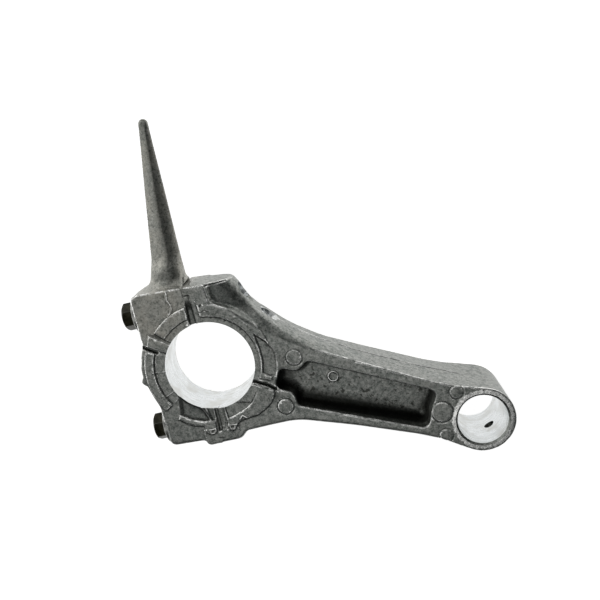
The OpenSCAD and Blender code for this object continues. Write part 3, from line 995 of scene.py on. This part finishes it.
def plated_material():
    """Satin plated steel of the washers."""
    material = principled("plated_steel", (0.5, 0.5, 0.48), 0.35, 1.0)
    n = Nodes(material)
    cloud = n.noise(1.8, 3)
    tone = n.mix(n.ramp(cloud, 0.35, 0.65), (0.26, 0.26, 0.245, 1), (0.42, 0.42, 0.40, 1))
    n.feed(n.shader.inputs["Base Color"], tone)
    n.feed(n.shader.inputs["Roughness"], n.ramp(n.noise(0.4, 2), 0.3, 0.7, 0.28, 0.44))
    n.feed(n.shader.inputs["Normal"], n.bump(n.noise(0.3, 2), 0.005, 0.5))
    return material


cast = cast_material()
machined = machined_material()
black = black_material()
plated = plated_material()


def face_values(data, name):
    """A vector property of a mesh's faces, as an array with a row for each face."""
    values = np.empty(len(data.polygons) * 3)
    data.polygons.foreach_get(name, values)
    return values.reshape(-1, 3)


def mark_machined(obj):
    """Gives the faces that a tool has cut the machined material: bores, countersinks and the split."""
    x, y, z = face_values(obj.data, "center").T / MM
    toward_x, toward_y, toward_z = face_values(obj.data, "normal").T
    s, t = split_coords(x, y)
    near = 0.06
    machined_here = np.abs(np.hypot(x, y) - CRANK_R) < near
    machined_here |= (np.hypot(x - PIN_X, y) < PIN_R + near) & (np.abs(toward_z) < 0.5)
    for side in (-1, 1):
        bored = np.abs(np.hypot(t - BOLT_T[side], z) - CLEAR_HOLE_R) < 0.2 + near
        machined_here |= bored & (s < BOSS_END_S)
    out = x * math.cos(CRANK_OIL_ANGLE) + y * math.sin(CRANK_OIL_ANGLE)
    off = y * math.cos(CRANK_OIL_ANGLE) - x * math.sin(CRANK_OIL_ANGLE)
    wall_r = CRANK_OIL_R + np.interp(out, *zip(*CRANK_OIL_MOUTH))
    machined_here |= (out > 0) & (np.abs(np.hypot(off, z) - wall_r) < near + 0.1)
    square_to_bolts = np.abs(np.abs(toward_x * COS + toward_y * SIN) - 1) < 1e-3
    from_split = np.minimum(np.abs(s - SPLIT_S), np.abs(s - SPLIT_S + STEP_DEPTH))
    machined_here |= square_to_bolts & (from_split < near)
    obj.data.polygons.foreach_set("material_index", machined_here.astype(np.int32))


def finish_piece(piece, body, node, materials):
    for material in materials:
        piece.data.materials.append(material)
    piece.data.shade_smooth()
    piece.data.set_sharp_from_angle(angle=math.radians(35))
    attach(piece, body)
    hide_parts(node)


rod = build_rod()
mark_machined(rod)
finish_piece(rod, "rod", "rod_body", [cast, machined])
cap = build_cap()
mark_machined(cap)
finish_piece(cap, "cap", "bearing_cap", [cast, machined])
for side, word in ((1, "upper"), (-1, "lower")):
    finish_piece(build_bolt(side, word), word + "_bolt", "cap_bolt_" + word, [black])
    finish_piece(build_washer(side, word), word + "_washer", "bolt_washer_" + word, [plated])

# ---------------------------------------------------------------- stage
FLOOR_REACH = 1.5
FLOOR_Z = CAD_BOX[0].z - 0.0002

floor_mesh = bpy.data.meshes.new("floor")
floor_mesh.from_pydata([(x * FLOOR_REACH, y * FLOOR_REACH, FLOOR_Z)
                        for x, y in ((-1, -1), (1, -1), (1, 1), (-1, 1))], [], [(0, 1, 2, 3)])
floor = link(bpy.data.objects.new("floor", floor_mesh))
paper = principled("paper", (0.6, 0.6, 0.6), 0.9, 0.0)
paper_inputs = paper.node_tree.nodes["Principled BSDF"].inputs
paper_inputs["Emission Color"].default_value = (1, 1, 1, 1)
paper_inputs["Emission Strength"].default_value = 0.90
floor_mesh.materials.append(paper)

# the camera sees a white room, and the metal mirrors a dark one
world = bpy.data.worlds.new("studio")
bpy.context.scene.world = world
world.use_nodes = True
room = world.node_tree
background = room.nodes["Background"]
background.inputs["Strength"].default_value = 1.0
seen = room.nodes.new("ShaderNodeLightPath").outputs["Is Camera Ray"]
room_mix = room.nodes.new("ShaderNodeMix")
room_mix.data_type = "RGBA"
room.links.new(seen, room_mix.inputs[0])
room_mix.inputs[6].default_value = (0.055, 0.06, 0.06, 1)
room_mix.inputs[7].default_value = (1, 1, 1, 1)
room.links.new(room_mix.outputs[2], background.inputs["Color"])


def softbox(name, place, target, size, radiance):
    """A square area light of a given brightness, aimed at the target and unseen by the camera."""
    data = bpy.data.lights.new(name, "AREA")
    data.shape = "SQUARE"
    data.size = size
    data.energy = radiance * math.pi * size * size
    light = link(bpy.data.objects.new(name, data))
    light.location = place
    light.rotation_euler = (Vector(target) - Vector(place)).to_track_quat("-Z", "Y").to_euler()
    light.visible_camera = False


softbox("front", (-0.02, -0.10, 0.75), (0.03, 0.02, 0), 0.62, 0.78)
softbox("top", (0.08, 0.75, 0.32), (0.03, 0.02, 0), 0.55, 0.45)
softbox("left", (-0.60, 0.30, 0.28), (-0.02, 0.03, 0), 0.45, 2.2)
softbox("low_left", (-0.62, -0.22, 0.22), (-0.02, 0.06, 0), 0.42, 1.5)
softbox("upper_left", (-0.30, 0.45, 0.55), (0.03, 0.02, 0), 0.22, 2.4)

# the photograph's viewpoint: above the rod's face, a little from the dipper's side
CAMERA_PLACE = Vector((0.0299, 0.1001, 0.3175))
FORWARD = Vector((0.00222, -0.21385, -0.97686)).normalized()
RIGHT = Vector((0.98384, 0.17535, -0.03615)).normalized()
RIGHT = (RIGHT - FORWARD * RIGHT.dot(FORWARD)).normalized()

camera_data = bpy.data.cameras.new("camera")
camera_data.lens = 48.2
camera_data.sensor_width = 36
camera = link(bpy.data.objects.new("camera", camera_data))
turned = Matrix((RIGHT, RIGHT.cross(FORWARD), -FORWARD)).transposed().to_4x4()
camera.matrix_world = Matrix.Translation(CAMERA_PLACE) @ turned
bpy.context.scene.camera = camera
bpy.context.scene.view_settings.view_transform = "Standard"
